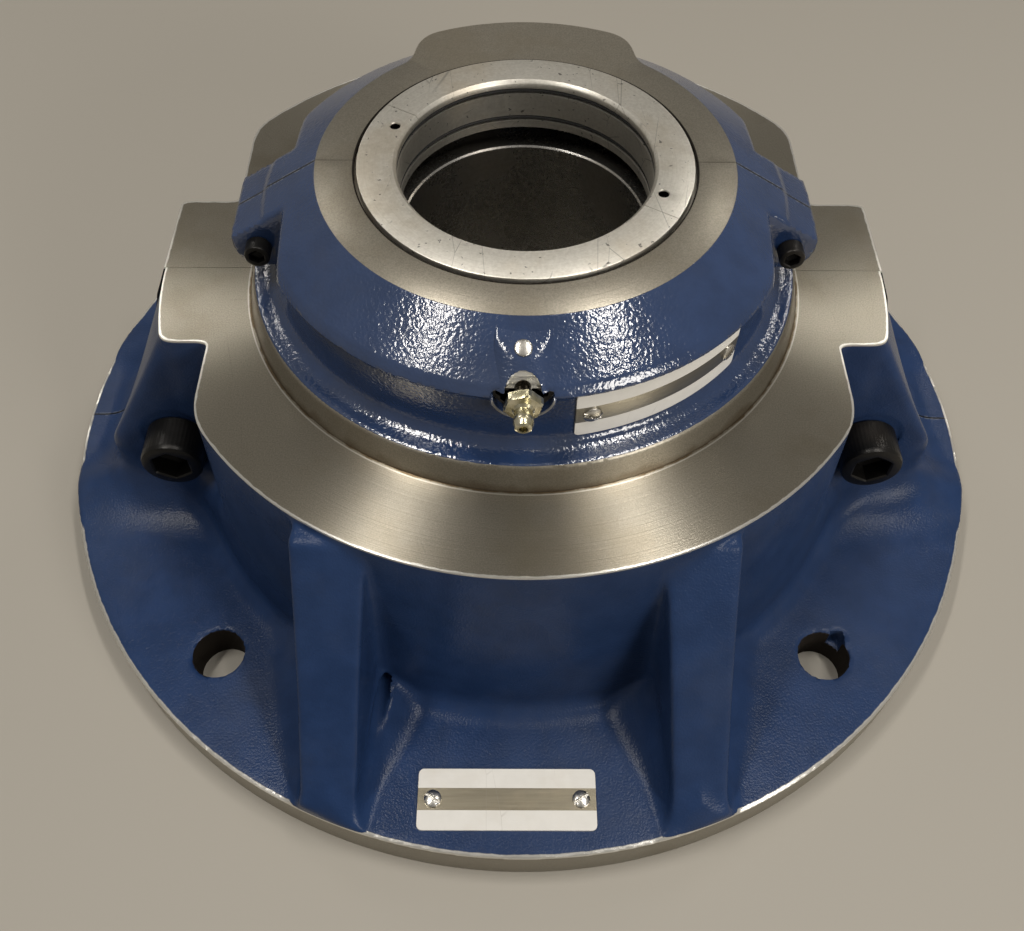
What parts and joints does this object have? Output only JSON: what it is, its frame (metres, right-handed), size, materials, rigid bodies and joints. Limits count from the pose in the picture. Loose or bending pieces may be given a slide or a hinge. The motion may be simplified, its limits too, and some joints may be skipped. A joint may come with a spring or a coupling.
{
  "type": "split cartridge bearing unit",
  "caption": "Split roller bearing in a two-piece cartridge that swivels in a round flange housing; clamps on a shaft and bolts to a machine face.",
  "frame": {"origin": "centre of the mounting face of the flange, on the shaft axis", "axes": "+Z along the shaft axis away from the mounting face, X along the joint plane of the halves, -Y towards the screw heads and the grease nipple"},
  "size_m": [0.391, 0.391, 0.1608],
  "materials": {
    "blue_paint": "gloss",
    "black_oxide": "satin",
    "plate": "satin",
    "yellow_zinc": "satin",
    "seal_aluminium": "satin",
    "rubber_cord": "matte",
    "cage_brass": "satin",
    "bright_steel": "satin"
  },
  "bodies": {
    "flange": {"flange_front_half": "blue_paint", "flange_rear_half": "blue_paint", "flange_joint_screws": "black_oxide", "flange_dowels": "bright_steel", "flange_nameplate": "plate", "flange_plate_screws": "bright_steel"},
    "cartridge": {"cartridge_front_half": "blue_paint", "cartridge_rear_half": "blue_paint", "cartridge_joint_screws": "black_oxide", "cartridge_dowels": "bright_steel", "grease_nipple": "yellow_zinc", "domed_plug": "bright_steel", "cartridge_nameplate": "plate", "cartridge_plate_screws": "bright_steel", "outer_race_front_half": "bright_steel", "outer_race_rear_half": "bright_steel"},
    "inner_ring": {"inner_race_front_half": "bright_steel", "inner_race_rear_half": "bright_steel", "upper_collar_front_half": "bright_steel", "upper_collar_rear_half": "bright_steel", "lower_collar_front_half": "bright_steel", "lower_collar_rear_half": "bright_steel", "upper_collar_screws": "black_oxide", "lower_collar_screws": "black_oxide", "upper_seal_front_half": "seal_aluminium", "upper_seal_rear_half": "seal_aluminium", "lower_seal_front_half": "seal_aluminium", "lower_seal_rear_half": "seal_aluminium", "upper_seal_cords": "rubber_cord", "lower_seal_cords": "rubber_cord"},
    "cage": {"cage_front_half": "cage_brass", "cage_rear_half": "cage_brass"},
    "roller_01": {"roller_01": "bright_steel"},
    "roller_02": {"roller_02": "bright_steel"},
    "roller_03": {"roller_03": "bright_steel"},
    "roller_04": {"roller_04": "bright_steel"},
    "roller_05": {"roller_05": "bright_steel"},
    "roller_06": {"roller_06": "bright_steel"},
    "roller_07": {"roller_07": "bright_steel"},
    "roller_08": {"roller_08": "bright_steel"},
    "roller_09": {"roller_09": "bright_steel"},
    "roller_10": {"roller_10": "bright_steel"},
    "roller_11": {"roller_11": "bright_steel"},
    "roller_12": {"roller_12": "bright_steel"}
  },
  "joints": [
    {"name": "swivel", "type": "hinge", "parent": "flange", "child": "cartridge", "pos_m": [0, 0, 0.086], "axis": [1, 0, 0], "range_deg": [-2.5, 2.5]},
    {"name": "shaft_spin", "type": "hinge", "parent": "cartridge", "child": "inner_ring", "pos_m": [0, 0, 0.086], "axis": [0, 0, 1], "continuous": true},
    {"name": "cage_spin", "type": "hinge", "parent": "cartridge", "child": "cage", "pos_m": [0, 0, 0.086], "axis": [0, 0, 1], "continuous": true},
    {"name": "roller_01_spin", "type": "hinge", "parent": "cage", "child": "roller_01", "pos_m": [0.06472, 0.01734, 0.086], "axis": [0, 0, 1], "continuous": true},
    {"name": "roller_02_spin", "type": "hinge", "parent": "cage", "child": "roller_02", "pos_m": [0.04738, 0.04738, 0.086], "axis": [0, 0, 1], "continuous": true},
    {"name": "roller_03_spin", "type": "hinge", "parent": "cage", "child": "roller_03", "pos_m": [0.01734, 0.06472, 0.086], "axis": [0, 0, 1], "continuous": true},
    {"name": "roller_04_spin", "type": "hinge", "parent": "cage", "child": "roller_04", "pos_m": [-0.01734, 0.06472, 0.086], "axis": [0, 0, 1], "continuous": true},
    {"name": "roller_05_spin", "type": "hinge", "parent": "cage", "child": "roller_05", "pos_m": [-0.04738, 0.04738, 0.086], "axis": [0, 0, 1], "continuous": true},
    {"name": "roller_06_spin", "type": "hinge", "parent": "cage", "child": "roller_06", "pos_m": [-0.06472, 0.01734, 0.086], "axis": [0, 0, 1], "continuous": true},
    {"name": "roller_07_spin", "type": "hinge", "parent": "cage", "child": "roller_07", "pos_m": [-0.06472, -0.01734, 0.086], "axis": [0, 0, 1], "continuous": true},
    {"name": "roller_08_spin", "type": "hinge", "parent": "cage", "child": "roller_08", "pos_m": [-0.04738, -0.04738, 0.086], "axis": [0, 0, 1], "continuous": true},
    {"name": "roller_09_spin", "type": "hinge", "parent": "cage", "child": "roller_09", "pos_m": [-0.01734, -0.06472, 0.086], "axis": [0, 0, 1], "continuous": true},
    {"name": "roller_10_spin", "type": "hinge", "parent": "cage", "child": "roller_10", "pos_m": [0.01734, -0.06472, 0.086], "axis": [0, 0, 1], "continuous": true},
    {"name": "roller_11_spin", "type": "hinge", "parent": "cage", "child": "roller_11", "pos_m": [0.04738, -0.04738, 0.086], "axis": [0, 0, 1], "continuous": true},
    {"name": "roller_12_spin", "type": "hinge", "parent": "cage", "child": "roller_12", "pos_m": [0.06472, -0.01734, 0.086], "axis": [0, 0, 1], "continuous": true}
  ],
  "couplings": [
    {"joint": "cage_spin", "follows": "shaft_spin", "ratio": 0.40634},
    {"joint": "roller_01_spin", "follows": "shaft_spin", "ratio": -2.586},
    {"joint": "roller_02_spin", "follows": "shaft_spin", "ratio": -2.586},
    {"joint": "roller_03_spin", "follows": "shaft_spin", "ratio": -2.586},
    {"joint": "roller_04_spin", "follows": "shaft_spin", "ratio": -2.586},
    {"joint": "roller_05_spin", "follows": "shaft_spin", "ratio": -2.586},
    {"joint": "roller_06_spin", "follows": "shaft_spin", "ratio": -2.586},
    {"joint": "roller_07_spin", "follows": "shaft_spin", "ratio": -2.586},
    {"joint": "roller_08_spin", "follows": "shaft_spin", "ratio": -2.586},
    {"joint": "roller_09_spin", "follows": "shaft_spin", "ratio": -2.586},
    {"joint": "roller_10_spin", "follows": "shaft_spin", "ratio": -2.586},
    {"joint": "roller_11_spin", "follows": "shaft_spin", "ratio": -2.586},
    {"joint": "roller_12_spin", "follows": "shaft_spin", "ratio": -2.586}
  ]
}
